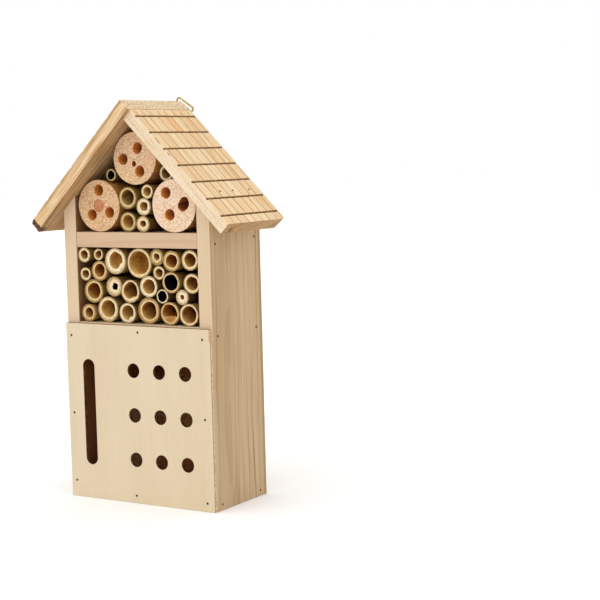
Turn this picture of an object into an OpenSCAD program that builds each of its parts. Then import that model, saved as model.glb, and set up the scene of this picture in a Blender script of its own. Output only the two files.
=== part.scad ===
// Insect hotel: a nailed softwood house with drilled logs, bamboo tubes and two closed chambers.
// Millimetres. +Z is up, the front faces -Y, and the origin is under the middle of the whole object.

/* [House] */
// Width over the two side boards
house_w = 134; // [134:0.5:137]
// Depth of the side boards, front to back
side_depth = 63; // [60:1:80]
// Height of the ridge above the ground
ridge_h = 300; // [300:0.5:303]
// Thickness of the side boards, shelves and bottom
board_t = 11.5; // [11:0.25:11.5]
// Thickness of the plywood front panel and back panel
ply_t = 3; // [2.5:0.5:4]

/* [Shelves] */
// Height of the top of the lower shelf, under the bamboo
lower_shelf_z = 135; // [132:0.5:136]
// Height of the top of the upper shelf, under the logs
upper_shelf_z = 203; // [203:0.5:204]
// How far the shelves stay behind the front edges of the side boards
shelf_setback = 0.3; // [0:0.1:2]

/* [Front panel] */
// Height of the front panel
front_panel_h = 134; // [131:0.5:135]
// Width of the shallow step at the front panel's upper right corner
step_w = 1; // [0.5:0.1:2]
// Height of the step at the front panel's upper right corner
step_h = 9.5; // [6:0.5:12]
// How far the panel stays inside each outer side face
panel_reveal = 0.5; // [0:0.1:1.5]
// Diameter of the nine round entrances, and width of the slot
entry_d = 11; // [9:0.5:12]
// Sideways spacing of the entrances
entry_pitch_x = 23.5; // [20:0.5:25]
// Height spacing of the entrances
entry_pitch_z = 33.6; // [28:0.2:35]
// Sideways place of the first column of entrances
entry_x = -3.5; // [-5:0.5:0]
// Height of the lowest row of entrances
entry_z = 33.2; // [28:0.2:36]
// Sideways place of the butterfly slot
slot_x = -45.8; // [-47:0.1:-44]
// Height of the centre of the slot's lower round end
slot_z = 31.5; // [25:0.5:36]
// Distance between the centres of the slot's two round ends
slot_run = 70; // [50:1:75]
// Sideways place of the wall between the two chambers
divider_x = -24; // [-30:0.5:-18]
// Thickness of that wall
divider_t = 8; // [6:0.5:10]

/* [Roof] */
// Thickness of the roof boards
roof_t = 10; // [9:0.5:10]
// Length of each slope from the ridge to the eave
roof_len = 127; // [120:1:135]
// Front overhang of the left roof board
left_overhang = 12.5; // [8:0.5:18]
// Front overhang of the right roof board
right_overhang = 9.5; // [8:0.5:18]
// Distance from the ridge to the first saw kerf
kerf_start = 17.3; // [15:0.1:20]
// Distance between saw kerfs
kerf_pitch = 16.9; // [14:0.1:17]
// Number of saw kerfs
kerf_count = 7; // [3:1:7]
// Width of a saw kerf
kerf_w = 1.2; // [0.8:0.1:2]
// Depth of a saw kerf
kerf_depth = 1; // [0.5:0.1:3]
// Spacing of the scored lines that divide a course into shingles
shingle_w = 9.2; // [7:0.1:14]
// Width and depth of a scored line
score = 0.35; // [0.2:0.05:0.6]

/* [Logs and bamboo] */
// Diameter of the three logs
log_d = 39; // [38:0.25:39]
// Diameter of the holes drilled in the logs
log_hole_d = 8.6; // [6:0.2:9]
// Depth of the holes drilled in the logs
log_hole_depth = 48; // [30:1:52]
// Gap left between pieces that touch
touch = 0.15; // [0.1:0.05:0.2]
// Thickness of the wall that closes a bamboo tube at its node
node_wall = 2; // [1:0.5:4]

/* [Hanger] */
// Sideways place of the hanger
hanger_x = 0; // [-5:0.5:5]
// Diameter of the hanger's wire
wire_d = 1.4; // [1:0.1:1.8]
// Reach of the ring to the left of the hanger's nail, to the middle of the wire
ring_left = 9.5; // [8:0.1:11]
// Reach of the ring to the right of the hanger's nail, to the middle of the wire
ring_right = 8.4; // [8:0.1:11]
// Height of the ring, to the middle of the wire
ring_h = 10.7; // [9:0.1:12]
// Radius of the ring's bends, to the middle of the wire
ring_bend_r = 1.8; // [1.4:0.1:2]
// Sideways place of the ring's top bend, which leans to the left
ring_top_x = -4.4; // [-5:0.1:0]
// Thickness of the folded brass strap
strap_t = 0.6; // [0.4:0.1:0.8]
// Width of the strap
strap_w = 7; // [5:0.5:9]
// Length of the strap below the ring's lower wire
strap_drop = 8; // [7:0.5:8]

/* [Nails] */
// Radius of a nail's shank
nail_r = 0.6; // [0.5:0.05:0.8]
// Radius of a nail's head
nail_head_r = 0.9; // [0.8:0.05:1.2]
// Thickness of a nail's head
nail_head_t = 0.5; // [0.3:0.1:0.8]
// How far the heads are sunk below the wood
nail_sink = 0.3; // [0:0.1:0.6]

/* [Hidden] */
$fn = 96;
eps = 0.05;
nail_clearance = 0.03;
rear_nail_inset = 5.5;
pine = [0.89, 0.78, 0.62];
plywood = [0.90, 0.82, 0.68];
log_wood = [0.86, 0.70, 0.55];
cane = [0.80, 0.70, 0.45];
brass = [0.72, 0.60, 0.30];
steel = [0.45, 0.40, 0.34];

// Depths, from the roof's front edge to the back of the hanger, centred on the origin
fold_r = wire_d / 2 + 0.05 + strap_t;
overhang = max(left_overhang, right_overhang);
total_depth = overhang + side_depth + ply_t + 2 * fold_r;
front_y = overhang - total_depth / 2;
back_y = front_y + side_depth;
rear_y = back_y + ply_t;

// Widths and heights of the carcass
inner_w = house_w - 2 * board_t;
roof_under_z = ridge_h - roof_t * sqrt(2);
lower_ceiling_z = upper_shelf_z - board_t;
chamber_ceiling_z = lower_shelf_z - board_t;
eave_z = roof_under_z - house_w / 2;
panel_w = house_w - 2 * panel_reveal;

// Nail places
front_nail_inset = 6.5;
side_nails = [
    [front_y + front_nail_inset, 4.5],
    [front_y + front_nail_inset, lower_shelf_z - board_t / 2 - 1],
    [front_y + front_nail_inset, upper_shelf_z - board_t / 2 - 2.2],
    for (z = [4.5, lower_shelf_z - board_t / 2, upper_shelf_z - board_t / 2])
        [back_y - rear_nail_inset, z]
];
front_nails = [
    [-61.5, 12.5], [-61.5, 65], [-61.5, front_panel_h - 9.5], [60, 6.4], [60, 68],
    [59.6, front_panel_h - 7.6], [1.5, lower_shelf_z - board_t / 2], [-4.5, board_t / 2]
];
back_nails = [
    for (x = [-1, 1], z = [20, 105, 185]) [x * (house_w - board_t) / 2, z],
    for (z = [board_t / 2, lower_shelf_z - board_t / 2, upper_shelf_z - board_t / 2]) [0, z]
];
roof_nail_s = 95.5;
roof_nail_y = [front_y + 14, front_y + 30.5, front_y + 52];
ridge_nail_y = [front_y + 6, back_y - 12];
hanger_nail_z = roof_under_z + 1.6;
side_nail_len = 22;
front_nail_len = 14;
back_nail_len = 12;
roof_nail_len = 16;
ridge_nail_len = 22;
hanger_nail_len = 14;

// The ring's lower wire is the hinge, held in the fold of the strap
hinge_y = rear_y + fold_r;
hinge_z = hanger_nail_z + 4.4;

// Each cane or log is seated against two supports, which are walls or pieces seated before it.
// A wall is a circle so large that it is flat, so one rule seats a piece against anything.
// A support's number is a place in the plan, or a negative number for a wall.
FLOOR = -1;
LEFT = -2;
RIGHT = -3;
CEILING = -4;
SLOPE_L = -4;
SLOPE_R = -5;
wall_r = 100000;
function wall(x, z, nx, nz) = [x - nx * wall_r, z - nz * wall_r, wall_r];
half = sqrt(0.5);
lower_walls = [
    wall(0, lower_shelf_z, 0, 1), wall(-inner_w / 2, 160, 1, 0), wall(inner_w / 2, 160, -1, 0),
    wall(0, lower_ceiling_z, 0, -1)
];
upper_walls = [
    wall(0, upper_shelf_z, 0, 1), wall(-inner_w / 2, 215, 1, 0), wall(inner_w / 2, 215, -1, 0),
    wall(-25, roof_under_z - 25, half, -half), wall(25, roof_under_z - 25, -half, -half)
];

// Plan of the lower bay: support, spare gap, support, spare gap, diameter, bore, depth of the node.
// The piece goes to the left of the line from its first support to its second.
lower_plan = [
    [LEFT, 2, FLOOR, 0, 13.6, 7.4, 40], [0, 1, FLOOR, 0, 19.4, 12.8, 34],
    [1, 1.5, FLOOR, 0, 15.4, 10.8, 22], [2, 1, FLOOR, 0, 20, 13, 46],
    [3, 1.2, FLOOR, 0, 17.2, 13, 30], [FLOOR, 0, RIGHT, 1, 16.6, 12.6, 38],
    [0, 1, 1, 0, 18, 12, 44], [2, 0, 3, 2, 17.4, 12.8, 26], [1, 1, 7, 0, 15, 6, 36],
    [3, 2, 4, 0, 10.6, 8, 50], [3, 0, 9, 0, 16, 10.8, 32], [4, 2, 5, 0, 11.4, 3.4, 42],
    [9, 0, 11, 0, 16, 11.8, 52], [11, 0, RIGHT, 0, 14.8, 10, 28], [6, 0, 8, 2, 15.2, 9.8, 40],
    [6, 0, 14, 0, 10.2, 6.2, 36], [10, 0, 12, 0, 10.4, 6.4, 44], [14, 0, 8, 2, 19.6, 11.4, 18],
    [17, 0, 10, 0, 22.4, 18, 24], [18, 0, 16, 0, 12.4, 5, 38], [19, 0, 12, 0, 15.4, 9.8, 34],
    [20, 0, 13, 2, 15, 9.8, 30], [CEILING, 0, LEFT, 0, 11.6, 6.6, 32], [22, 2, 14, 0, 9, 5.6, 40]
];
// Plan of the gable bay, with the left, right and top logs first
upper_plan = [
    [LEFT, 2, FLOOR, 0, log_d], [FLOOR, 0, SLOPE_R, 0, log_d], [SLOPE_R, 0, SLOPE_L, 1, log_d],
    [0, 1.5, FLOOR, 0, 15, 9.8, 30], [3, 0.8, FLOOR, 0, 12, 5, 42], [0, 0.5, 3, 2, 16.4, 11.4, 46],
    [5, 0, 4, 0, 13, 7, 34], [6, 0, 1, 1, 10.6, 6.8, 38], [2, 1.5, 1, 0, 11.8, 8, 28],
    [0, 0, 2, 3.6, 9.6, 6.4, 44]
];
log_count = 3;

function support(k, walls, done) = k < 0 ? walls[-k - 1] : done[k];
// Centre of a circle of radius r that clears circles a and b by gaps ga and gb
function seat(a, b, r, ga, gb) =
    let (ra = a[2] + r + touch + ga, rb = b[2] + r + touch + gb)
    let (run = [b[0] - a[0], b[1] - a[1]], d = norm(run), u = run / d)
    let (along = (d * d + ra * ra - rb * rb) / (2 * d), side = sqrt(ra * ra - along * along))
    [a[0] + u[0] * along - u[1] * side, a[1] + u[1] * along + u[0] * side, r];
function seated(p, walls, done) =
    seat(support(p[0], walls, done), support(p[2], walls, done), p[4] / 2, p[1], p[3]);
function pack(plan, walls, done = []) =
    len(done) == len(plan) ? done
        : pack(plan, walls, concat(done, [seated(plan[len(done)], walls, done)]));

lower_seats = pack(lower_plan, lower_walls);
upper_seats = pack(upper_plan, upper_walls);

// Every cane: seat, bore, node depth and how far its front end is pushed in
function setback(i) = 0.6 + 0.5 * ((3 * i) % 5);
canes = [
    for (i = [0:len(lower_plan) - 1])
        [lower_seats[i], lower_plan[i][5], lower_plan[i][6], setback(i)],
    for (i = [log_count:len(upper_plan) - 1])
        [upper_seats[i], upper_plan[i][5], upper_plan[i][6], setback(i) + (i > 7 ? 4 : 0)]
];
function cane_name(i) = str("bamboo_tube_", i < 9 ? "0" : "", i + 1);

// Holes of each log: distance from the log's middle, and angle
log_names = ["log_left", "log_right", "log_top"];
log_holes = [
    [[11.6, 88], [9.4, 226], [11.1, 333]],
    [[11.5, 126], [7.6, 240], [8.8, 7]],
    [[8, 68], [10.6, 183], [10.6, 295]]
];
log_setback = [1.2, 0.8, 1.6];

// A nail along +Z: its head is sunk below z = 0 and its point is at z = length
module nail(length) {
    color(steel) {
        translate([0, 0, nail_sink]) cylinder(r = nail_head_r, h = nail_head_t);
        translate([0, 0, nail_sink]) cylinder(r = nail_r, h = length - nail_sink - 3 * nail_r);
        translate([0, 0, length - 3 * nail_r]) cylinder(r1 = nail_r, r2 = 0.1, h = 3 * nail_r);
    }
}

// The hole that a nail of this length leaves, with the dimple over its head
module nail_hole(length) {
    translate([0, 0, -1])
        cylinder(r = nail_head_r + nail_clearance, h = 1 + nail_sink + nail_head_t + nail_clearance);
    cylinder(r = nail_r + nail_clearance, h = length + nail_clearance);
}

// Each of these puts its children at every nail place of one group, pointing into the wood
module at_side_nails(side) {
    for (p = side_nails)
        translate([side * house_w / 2, p[0], p[1]]) rotate([0, -90 * side, 0]) children();
}
module at_front_nails() {
    for (p = front_nails) translate([p[0], front_y - ply_t, p[1]]) rotate([-90, 0, 0]) children();
}
module at_back_nails() {
    for (p = back_nails) translate([p[0], rear_y, p[1]]) rotate([90, 0, 0]) children();
}
module on_slope(side, s, y) {
    translate([side * s * half, y, ridge_h - s * half]) rotate([0, 180 + side * 45, 0]) children();
}
module at_roof_nails(side) {
    for (y = roof_nail_y) on_slope(side, roof_nail_s, y) children();
}
module at_ridge_nails() {
    for (y = ridge_nail_y) on_slope(-1, roof_t / 2, y) children();
}

// A side board, its top cut to the slope of the roof
module side_board(side) {
    outer = house_w / 2;
    inner = outer - board_t;
    color(pine) difference() {
        translate([0, back_y, 0]) rotate([90, 0, 0]) linear_extrude(side_depth)
            polygon([[side * inner, 0], [side * outer, 0], [side * outer, eave_z],
                     [side * inner, eave_z + board_t]]);
        at_side_nails(side) nail_hole(side_nail_len);
        at_front_nails() nail_hole(front_nail_len);
        at_back_nails() nail_hole(back_nail_len);
        at_roof_nails(side) nail_hole(roof_nail_len);
    }
}

// A shelf or the bottom, between the side boards
module shelf(top_z, setback) {
    color(pine) difference() {
        translate([-inner_w / 2, front_y + setback, top_z - board_t])
            cube([inner_w, side_depth - setback, board_t]);
        at_side_nails(-1) nail_hole(side_nail_len);
        at_side_nails(1) nail_hole(side_nail_len);
        at_front_nails() nail_hole(front_nail_len);
        at_back_nails() nail_hole(back_nail_len);
    }
}

module back_panel() {
    color(plywood) difference() {
        translate([0, rear_y, 0]) rotate([90, 0, 0]) linear_extrude(ply_t)
            polygon([[-house_w / 2, 0], [house_w / 2, 0], [house_w / 2, eave_z], [0, roof_under_z],
                     [-house_w / 2, eave_z]]);
        at_back_nails() nail_hole(back_nail_len);
    }
}

module front_panel() {
    color(plywood) difference() {
        translate([0, front_y, 0]) rotate([90, 0, 0]) linear_extrude(ply_t) difference() {
            translate([-panel_w / 2, 0]) square([panel_w, front_panel_h]);
            translate([panel_w / 2 - step_w, front_panel_h - step_h]) square([step_w + 1, step_h + 1]);
            for (i = [0:2], j = [0:2])
                translate([entry_x + i * entry_pitch_x, entry_z + j * entry_pitch_z])
                    circle(d = entry_d);
            translate([slot_x, slot_z]) {
                circle(d = entry_d);
                translate([0, slot_run]) circle(d = entry_d);
                translate([-entry_d / 2, 0]) square([entry_d, slot_run]);
            }
        }
        at_front_nails() nail_hole(front_nail_len);
    }
}

// The wall that keeps the butterfly chamber apart from the chamber behind the round entrances
module chamber_divider() {
    color(pine) translate([divider_x - divider_t / 2, front_y + 1, board_t])
        cube([divider_t, side_depth - 1.5, chamber_ceiling_z - board_t]);
}

// Kerfs across the slope, and staggered scores down it that divide each course into shingles
module shingle_cuts(overhang) {
    for (k = [0:kerf_count - 1])
        translate([kerf_start + k * kerf_pitch - kerf_w / 2, front_y - overhang - 1, -kerf_depth])
            cube([kerf_w, total_depth + 2, kerf_depth + 1]);
    for (k = [0:kerf_count]) {
        from = k == 0 ? roof_t + 1.5 : kerf_start + (k - 1) * kerf_pitch;
        to = k == kerf_count ? roof_len + 1 : kerf_start + k * kerf_pitch;
        stagger = shingle_w * (0.15 + 0.37 * k - floor(0.15 + 0.37 * k));
        for (y = [front_y - overhang + 2 + stagger:shingle_w:rear_y - 1.5])
            translate([from, y, -score]) cube([to - from, score, score + 1]);
    }
}

// The left board covers the end of the right one at the ridge
module roof_board(side) {
    reach = side < 0 ? left_overhang : right_overhang;
    start = side < 0 ? 0 : roof_t;
    color(pine) difference() {
        translate([0, 0, ridge_h]) mirror([side < 0 ? 1 : 0, 0, 0]) rotate([0, 45, 0])
            difference() {
                translate([start, front_y - reach, -roof_t])
                    cube([roof_len - start, reach + rear_y - front_y, roof_t]);
                shingle_cuts(reach);
            }
        at_roof_nails(side) nail_hole(roof_nail_len);
        at_ridge_nails() nail_hole(ridge_nail_len);
        translate([hanger_x, rear_y, hanger_nail_z]) rotate([90, 0, 0])
            cylinder(r = nail_r + nail_clearance, h = hanger_nail_len);
    }
}

// A log with three blind holes and its pith
module log_piece(i) {
    seat = upper_seats[i];
    y = front_y + log_setback[i];
    color(log_wood) translate([seat[0], y, seat[1]]) rotate([-90, 0, 0]) difference() {
        cylinder(r = seat[2], h = back_y - y - eps);
        for (h = log_holes[i])
            rotate([0, 0, -h[1]]) translate([h[0], 0, -1])
                cylinder(d = log_hole_d, h = log_hole_depth + 1);
    }
}

// A length of cane, hollow on both sides of the wall at its node
module cane_piece(i) {
    seat = canes[i][0];
    bore = canes[i][1];
    node_depth = canes[i][2];
    y = front_y + canes[i][3];
    length = back_y - y - eps;
    color(cane) translate([seat[0], y, seat[1]]) rotate([-90, 0, 0]) difference() {
        cylinder(r = seat[2], h = length);
        translate([0, 0, -1]) cylinder(d = bore, h = node_depth + 1);
        translate([0, 0, node_depth + node_wall]) cylinder(d = bore, h = length);
    }
}

// A straight wire between two points of the XZ plane, reaching a little into the bends at its ends
module wire(from, to) {
    run = to - from;
    reach = 0.15;
    translate([from[0], 0, from[1]]) rotate([0, atan2(run[0], run[1]), 0])
        translate([0, 0, -reach]) cylinder(d = wire_d, h = norm(run) + 2 * reach);
}

// A closed loop of wire in the XZ plane, bent round the given centres, which run anticlockwise
module wire_loop(centres, bend_r) {
    n = len(centres);
    bend_swell = 0.04;
    for (i = [0:n - 1]) {
        here = centres[i];
        next = centres[(i + 1) % n];
        arrive = here - centres[(i + n - 1) % n];
        leave = next - here;
        out = bend_r * [leave[1], -leave[0]] / norm(leave);
        turn = acos(arrive * leave / norm(arrive) / norm(leave));
        wire(here + out, next + out);
        translate([here[0], 0, here[1]]) rotate([90, 0, 0])
            rotate([0, 0, atan2(arrive[1], arrive[0]) - 90])
                rotate_extrude(angle = turn) translate([bend_r, 0]) circle(d = wire_d + bend_swell);
    }
}

module hanger_ring() {
    color(brass) translate([hanger_x, hinge_y, hinge_z])
        wire_loop([[ring_bend_r - ring_left, ring_bend_r], [ring_right - ring_bend_r, ring_bend_r],
                   [ring_top_x, ring_h - ring_bend_r]], ring_bend_r);
}

// A brass strip folded over the ring's lower wire, with both ends pressed flat on the roof's back
module hanger_strap() {
    bore_r = fold_r - strap_t;
    fold_end_z = hinge_z - 2.4;
    end_z = hinge_z - strap_drop;
    color(brass) difference() {
        union() {
            across_strap() difference() {
                translate([hinge_y, hinge_z]) circle(r = fold_r);
                translate([hinge_y, hinge_z]) circle(r = bore_r);
                translate([rear_y - 1, end_z]) square([2 * fold_r + 2, strap_drop - eps]);
            }
            across_strap()
                polygon([[rear_y, hinge_z], [rear_y + strap_t, hinge_z],
                         [rear_y + strap_t, fold_end_z + strap_t / 2],
                         [hinge_y + bore_r, hinge_z - bore_r], [hinge_y + bore_r, hinge_z],
                         [hinge_y + fold_r, hinge_z], [hinge_y + fold_r, hinge_z - bore_r],
                         [rear_y + 2 * strap_t, fold_end_z], [rear_y + 2 * strap_t, end_z],
                         [rear_y, end_z]]);
        }
        translate([hanger_x, rear_y + 3 * strap_t, hanger_nail_z]) rotate([90, 0, 0])
            cylinder(r = nail_r + nail_clearance, h = 4 * strap_t);
    }
}

// Extrudes a profile drawn in depth and height across the width of the strap
module across_strap() {
    translate([hanger_x - strap_w / 2, 0, 0]) rotate([90, 0, 90])
        linear_extrude(strap_w) children();
}

module hanger_nail() {
    head_r = 1.7;
    color(steel) translate([hanger_x, rear_y + 2 * strap_t, hanger_nail_z]) rotate([90, 0, 0]) {
        translate([0, 0, -0.4]) cylinder(r = nail_r, h = hanger_nail_len);
        translate([0, 0, -0.8]) cylinder(r1 = head_r - 0.6, r2 = head_r, h = 0.4);
        translate([0, 0, -0.4]) cylinder(r = head_r, h = 0.4 - nail_clearance);
    }
}

side_board(-1);  // left_side
side_board(1);  // right_side
shelf(board_t, shelf_setback);  // bottom_board
shelf(lower_shelf_z, shelf_setback);  // lower_shelf
shelf(upper_shelf_z, shelf_setback);  // upper_shelf
back_panel();
front_panel();
chamber_divider();
roof_board(-1);  // roof_board_left
roof_board(1);  // roof_board_right
for (i = [0:log_count - 1]) log_piece(i);
for (i = [0:len(canes) - 1]) cane_piece(i);
hanger_ring();
hanger_strap();
hanger_nail();
at_front_nails() nail(front_nail_len);  // front_panel_nails
at_side_nails(-1) nail(side_nail_len);  // left_side_nails
at_side_nails(1) nail(side_nail_len);  // right_side_nails
at_back_nails() nail(back_nail_len);  // back_panel_nails
at_roof_nails(-1) nail(roof_nail_len);  // roof_left_nails
at_roof_nails(1) nail(roof_nail_len);  // roof_right_nails
at_ridge_nails() nail(ridge_nail_len);  // ridge_nails
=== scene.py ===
"""Looks of a hanging insect hotel: pine house, drilled logs, bamboo tubes and a laser-cut plywood front.

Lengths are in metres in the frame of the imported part, and MM turns millimetres into metres.
A colour is three numbers from 0 to 255, as on a screen. A single number stands for a linear grey.
"""

from math import cos, exp, pi, radians, sin, sqrt

import bpy
import numpy as np
from mathutils import Matrix, Vector, noise


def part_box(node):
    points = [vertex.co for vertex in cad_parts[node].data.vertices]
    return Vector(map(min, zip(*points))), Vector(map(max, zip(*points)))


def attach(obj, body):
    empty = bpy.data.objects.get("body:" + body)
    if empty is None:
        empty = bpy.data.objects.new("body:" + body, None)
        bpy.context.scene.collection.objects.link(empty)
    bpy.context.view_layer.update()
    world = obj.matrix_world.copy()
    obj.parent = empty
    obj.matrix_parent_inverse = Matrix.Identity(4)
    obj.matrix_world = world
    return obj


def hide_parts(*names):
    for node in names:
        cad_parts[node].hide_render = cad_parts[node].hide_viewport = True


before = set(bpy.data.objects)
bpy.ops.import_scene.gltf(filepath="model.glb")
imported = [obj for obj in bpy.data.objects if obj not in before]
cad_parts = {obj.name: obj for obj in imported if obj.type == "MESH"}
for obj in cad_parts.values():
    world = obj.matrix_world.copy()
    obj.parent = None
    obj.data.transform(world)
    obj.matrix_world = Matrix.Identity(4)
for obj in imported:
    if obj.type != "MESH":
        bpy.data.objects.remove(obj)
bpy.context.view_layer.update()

MM = 0.001
HALF = sqrt(0.5)  # sine and cosine of the roof's 45 degrees
FRONT, BACK = (0, -1, 0), (0, 1, 0)
LEFT, RIGHT, UP = (-1, 0, 0), (1, 0, 0), (0, 0, 1)
UP_RIGHT, DOWN_RIGHT, DOWN_LEFT = (HALF, 0, HALF), (HALF, 0, -HALF), (-HALF, 0, -HALF)


def mm(*lengths):
    return [length * MM for length in lengths]


# ---- shader helpers


def linear(colour):
    """A screen colour or a grey as the linear colour that the shaders take."""
    if isinstance(colour, (int, float)):
        return (colour,) * 3 + (1.0,)
    shares = [v / 255.0 for v in colour]
    return (*(v / 12.92 if v <= 0.04045 else ((v + 0.055) / 1.055) ** 2.4 for v in shares), 1.0)


class Value:
    """A node's output. Adding, subtracting or multiplying it adds the node that works it out."""

    def __init__(self, shader, socket):
        self.shader = shader
        self.socket = socket

    def __add__(self, other):
        return self.shader.math("ADD", self, other)

    def __sub__(self, other):
        return self.shader.math("SUBTRACT", self, other)

    def __rsub__(self, other):
        return self.shader.math("SUBTRACT", other, self)

    def __mul__(self, other):
        return self.shader.math("MULTIPLY", self, other)


class Shader:
    """A node material under construction. Its methods take numbers, colours or Values."""

    def __init__(self, name):
        self.material = bpy.data.materials.new(name)
        self.material.use_nodes = True
        self.tree = self.material.node_tree
        self.bsdf = self.tree.nodes["Principled BSDF"]

    def add(self, kind, inputs=None, out=0, **settings):
        """Adds a node, sets its inputs from values or sockets, and returns one output."""
        node = self.tree.nodes.new("ShaderNode" + kind)
        for key, value in settings.items():
            setattr(node, key, value)
        for key, value in (inputs or {}).items():
            self.feed(node.inputs[key], value)
        return Value(self, node.outputs[out])

    def feed(self, socket, value):
        if isinstance(value, Value):
            self.tree.links.new(value.socket, socket)
        else:
            socket.default_value = linear(value) if socket.type == "RGBA" else value

    def math(self, operation, a, b=0.0):
        return self.add("Math", {0: a, 1: b}, operation=operation)

    def most(self, a, b):
        return self.math("MAXIMUM", a, b)

    def centred(self, value, gain):
        """A value from 0 to 1, spread about zero."""
        return (value - 0.5) * gain

    def vector(self, operation, a, b=(0, 0, 0), out=0):
        return self.add("VectorMath", {0: a, 1: b}, out=out, operation=operation)

    def dot(self, a, b):
        return self.vector("DOT_PRODUCT", a, b, out=1)

    def stretch(self, vector, by):
        return self.vector("MULTIPLY", vector, by)

    def mix(self, factor, a, b):
        return self.add("Mix", {0: factor, 6: a, 7: b}, out=2, data_type="RGBA")

    def paint_over(self, colour, mask, share, paint_over):
        """Covers a share of the colour where the mask is 1; used for stains and for painted light and shade.
        """
        return self.mix(mask * share, colour, paint_over)

    def ramp(self, factor, *stops):
        """stops are (place, colour) pairs."""
        node = self.tree.nodes.new("ShaderNodeValToRGB")
        self.feed(node.inputs[0], factor)
        elements = node.color_ramp.elements
        while len(elements) < len(stops):
            elements.new(0.5)
        for element, (place, colour) in zip(elements, stops):
            element.position = place
            element.color = linear(colour)
        return Value(self, node.outputs[0])

    def fade(self, value, start, end):
        """1 below start, 0 beyond end."""
        return self.ramp(value, (start, 1.0), (end, 0.0))

    def rise(self, value, start, end):
        """0 below start, 1 beyond end."""
        return self.ramp(value, (start, 0.0), (end, 1.0))

    def noise(self, vector, scale, detail=2.0, rough=0.5):
        return self.add("TexNoise", {"Vector": vector, "Scale": scale, "Detail": detail, "Roughness": rough})

    def rings(self, vector, spacing, distortion, detail, detail_scale, detail_rough, profile):
        """Growth rings about the z axis of a vector."""
        return self.add("TexWave", {"Vector": vector, "Scale": 2 * pi / (20 * spacing),
                                    "Distortion": distortion, "Detail": detail,
                                    "Detail Scale": detail_scale, "Detail Roughness": detail_rough},
                        out=1, wave_type="RINGS", rings_direction="Z", wave_profile=profile)

    def place(self):
        """The object's own coordinates."""
        return self.add("TexCoord", out=3)

    def coords(self, move=(0, 0, 0), turn=(0, 0, 0)):
        """The object's own coordinates, moved and then turned."""
        return self.add("Mapping", {"Vector": self.vector("ADD", self.place(), move), "Rotation": turn})

    def axis(self, letter, vector=None):
        return self.add("SeparateXYZ", {0: vector or self.place()}, out="xyz".index(letter))

    def attribute(self, name):
        return self.add("Attribute", out=2, attribute_name=name)

    def normal(self):
        return self.add("TexCoord", out=1)

    def near(self, point, radius, fuzz=0.5):
        """1 at a point, falling to 0 at about a radius from it, with a ragged edge."""
        place = self.place()
        ragged = self.noise(place, 900.0, 3.0) * (radius * fuzz * 2)
        away = self.vector("DISTANCE", place, point, out=1) + ragged
        return self.fade(self.math("DIVIDE", away, radius * (1 + fuzz)), 0.75, 1.0)

    def inside(self, lo, hi, slack=0.25 * MM):
        """1 on and in a box, 0 outside it."""
        middle = [(a + b) / 2 for a, b in zip(lo, hi)]
        half = [(b - a) / 2 + slack for a, b in zip(lo, hi)]
        away = self.vector("ABSOLUTE", self.vector("SUBTRACT", self.place(), middle))
        away = self.vector("DIVIDE", away, half)
        far = self.most(self.most(self.axis("x", away), self.axis("y", away)), self.axis("z", away))
        return self.math("LESS_THAN", far, 1.0)

    def facing(self, direction, start=0.6, full=0.85):
        """1 where the surface faces a direction, in the object's own axes."""
        along = self.dot(self.normal(), direction) - start
        return self.math("MINIMUM", self.most(self.math("DIVIDE", along, full - start), 0.0), 1.0)

    def finish(self, colour, roughness, height=None, depth=0.0002, strength=0.6, specular=0.3):
        """Sets the surface. height is a bump of the given depth, in metres."""
        self.feed(self.bsdf.inputs["Base Color"], colour)
        self.feed(self.bsdf.inputs["Roughness"], roughness)
        self.bsdf.inputs["Specular IOR Level"].default_value = specular
        if height is not None:
            bump = self.add("Bump", {"Strength": strength, "Distance": depth, "Height": height})
            self.feed(self.bsdf.inputs["Normal"], bump)
        return self.material


# ---- wood

GRAIN_TURN = {"x": (0, radians(-90), 0), "z": (0, 0, 0),
              "slope_right": (0, radians(-135), 0), "slope_left": (0, radians(135), 0)}


def wood_parts(s, grain, pith, ring, wobble=3.0, fibre_scale=1300.0):
    """Coordinates along the grain, and growth rings, fibres and slow tone from 0 to 1."""
    p = s.coords(move=tuple(-v for v in pith), turn=GRAIN_TURN[grain])
    bent = s.stretch(p, (1, 1, 0.05))
    for shrink, scale, size in ((0.12, 26.0, 0.022), (0.10, 95.0, 0.004)):
        warp = s.add("TexNoise", {"Vector": s.stretch(p, (1, 1, shrink)), "Scale": scale}, out=1)
        shift = s.stretch(s.vector("SUBTRACT", warp, (0.5, 0.5, 0.5)), (size, size, 0))
        bent = s.vector("ADD", bent, shift)
    rings = s.rings(bent, ring, wobble, 2.0, 0.6, 0.55, "SAW")
    fibres = s.noise(s.stretch(p, (1, 1, 0.018)), fibre_scale, 3.0, 0.6)
    tone = s.noise(s.stretch(p, (1, 1, 0.2)), 34.0)
    return p, rings, fibres, tone


def end_grain(s, grain, towards, heart, spacing, weight):
    """Darkening of a sawn end: growth arcs about the heart, and grit."""
    place = s.coords(move=tuple(-v for v in heart), turn=GRAIN_TURN[grain])
    arcs = s.rise(s.rings(place, spacing, 1.6, 3.0, 2.0, 0.6, "SIN"), 0.35, 0.8)
    grit = s.centred(s.noise(place, 950.0, 3.0, 0.75), 1.6)
    return (arcs * weight + 0.16 + grit) * s.facing(towards)


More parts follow.
